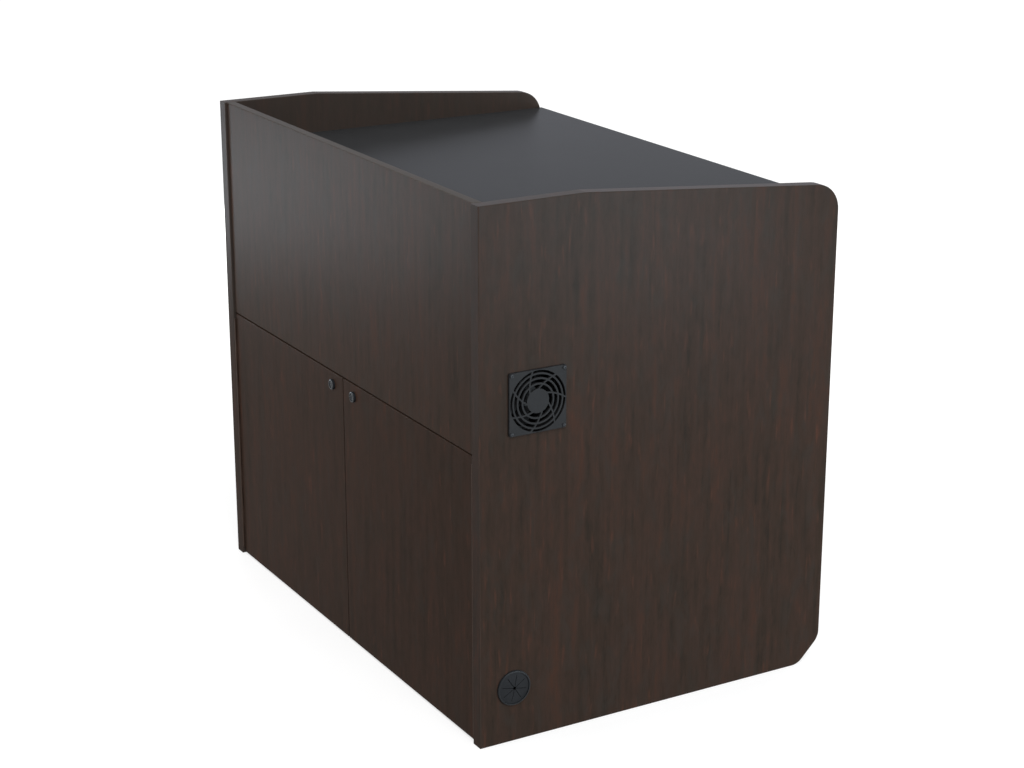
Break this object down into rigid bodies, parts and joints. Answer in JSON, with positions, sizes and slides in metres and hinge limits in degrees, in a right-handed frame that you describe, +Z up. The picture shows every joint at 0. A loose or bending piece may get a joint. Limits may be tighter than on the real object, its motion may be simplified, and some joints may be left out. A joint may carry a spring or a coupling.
{
  "type": "multimedia lectern",
  "caption": "Free-standing cabinet lectern with sloped side panels, a recessed work surface, locking doors, a rack bay, a side fan and a cable grommet.",
  "frame": {"origin": "floor level, middle of the cabinet's width and depth", "axes": "+Z up, -Y toward the audience doors, +Y toward the presenter, +X toward the side with the fan guard and grommet"},
  "size_m": [1.1436, 0.79, 1.038],
  "materials": {
    "wood_laminate": "dark espresso wood-grain laminate, satin",
    "work_laminate": "charcoal laminate, fine texture",
    "work_edge": "charcoal edge band, satin",
    "black_metal": "black powder coat, fine texture",
    "zinc_steel": "zinc plated steel",
    "bar_aluminium": "mill finish flat bar",
    "dark_nickel": "dark nickel plate, polished",
    "black_plastic": "black moulded plastic, satin",
    "rubber": "black flexible rubber",
    "screw_black": "black oxide screw"
  },
  "bodies": {
    "cabinet": {"side_panel_left": "wood_laminate", "side_panel_right": "wood_laminate", "upper_front_panel": "wood_laminate", "upper_panel_cleats": "wood_laminate", "worksurface": "work_laminate", "worksurface_edge_band": "work_edge", "worksurface_brackets": "zinc_steel", "sub_top": "wood_laminate", "rear_rail": "wood_laminate", "centre_divider": "wood_laminate", "bottom_panel": "wood_laminate", "toe_kick": "wood_laminate", "adjustable_shelf": "wood_laminate", "shelf_pins": "zinc_steel", "rack_rail_inner": "black_metal", "rack_rail_outer": "black_metal", "front_strike_bar": "bar_aluminium", "rear_strike_bar": "bar_aluminium", "fan_guard": "black_plastic", "fan_guard_screws": "screw_black", "fan_frame": "black_plastic", "fan_screws": "screw_black", "grommet_ring": "black_plastic", "grommet_membrane": "rubber", "tray_channels": "black_metal", "foot_brackets": "zinc_steel", "left_hinge_fixed_leaf": "black_metal", "left_hinge_pin": "zinc_steel", "right_hinge_fixed_leaf": "black_metal", "right_hinge_pin": "zinc_steel", "rack_hinge_fixed_leaf": "black_metal", "rack_hinge_pin": "zinc_steel"},
    "left_door": {"left_door_panel": "wood_laminate", "left_hinge_door_leaf": "black_metal", "left_lock_body": "dark_nickel", "left_lock_nut": "zinc_steel"},
    "left_lock": {"left_lock_plug": "dark_nickel", "left_lock_cam": "zinc_steel"},
    "right_door": {"right_door_panel": "wood_laminate", "right_hinge_door_leaf": "black_metal", "right_lock_body": "dark_nickel", "right_lock_nut": "zinc_steel"},
    "right_lock": {"right_lock_plug": "dark_nickel", "right_lock_cam": "zinc_steel"},
    "rack_door": {"rack_door_panel": "wood_laminate", "rack_hinge_door_leaf": "black_metal", "rack_lock_body": "dark_nickel", "rack_lock_nut": "zinc_steel"},
    "rack_lock": {"rack_lock_plug": "dark_nickel", "rack_lock_cam": "zinc_steel"},
    "rotor": {"fan_rotor": "black_plastic"},
    "tray": {"keyboard_tray": "work_laminate", "tray_runners": "zinc_steel"},
    "foot_front_left": {"foot_front_left": "zinc_steel"},
    "foot_front_right": {"foot_front_right": "zinc_steel"},
    "foot_rear_left": {"foot_rear_left": "zinc_steel"},
    "foot_rear_right": {"foot_rear_right": "zinc_steel"}
  },
  "joints": [
    {"name": "left_door_hinge", "type": "hinge", "parent": "cabinet", "child": "left_door", "pos_m": [-0.5385, -0.391, 0.285], "axis": [0, 0, -1], "range_deg": [0, 170]},
    {"name": "right_door_hinge", "type": "hinge", "parent": "cabinet", "child": "right_door", "pos_m": [0.5385, -0.391, 0.285], "axis": [0, 0, 1], "range_deg": [0, 170]},
    {"name": "rack_door_hinge", "type": "hinge", "parent": "cabinet", "child": "rack_door", "pos_m": [0.5385, 0.391, 0.42], "axis": [0, 0, -1], "range_deg": [0, 170]},
    {"name": "left_lock_turn", "type": "hinge", "parent": "left_door", "child": "left_lock", "pos_m": [-0.0475, -0.3885, 0.543], "axis": [0, 1, 0], "range_deg": [0, 90]},
    {"name": "right_lock_turn", "type": "hinge", "parent": "right_door", "child": "right_lock", "pos_m": [0.0475, -0.3885, 0.543], "axis": [0, -1, 0], "range_deg": [0, 90]},
    {"name": "rack_lock_turn", "type": "hinge", "parent": "rack_door", "child": "rack_lock", "pos_m": [0.0365, 0.3885, 0.761], "axis": [0, -1, 0], "range_deg": [0, 90]},
    {"name": "fan_spin", "type": "hinge", "parent": "cabinet", "child": "rotor", "pos_m": [0.528, -0.274, 0.667], "axis": [1, 0, 0], "continuous": true},
    {"name": "tray_slide", "type": "slide", "parent": "cabinet", "child": "tray", "axis": [0, 1, 0], "range_m": [0, 0.23]},
    {"name": "foot_front_left_level", "type": "slide", "parent": "cabinet", "child": "foot_front_left", "axis": [0, 0, -1], "range_m": [0, 0.015]},
    {"name": "foot_front_right_level", "type": "slide", "parent": "cabinet", "child": "foot_front_right", "axis": [0, 0, -1], "range_m": [0, 0.015]},
    {"name": "foot_rear_left_level", "type": "slide", "parent": "cabinet", "child": "foot_rear_left", "axis": [0, 0, -1], "range_m": [0, 0.015]},
    {"name": "foot_rear_right_level", "type": "slide", "parent": "cabinet", "child": "foot_rear_right", "axis": [0, 0, -1], "range_m": [0, 0.015]}
  ]
}
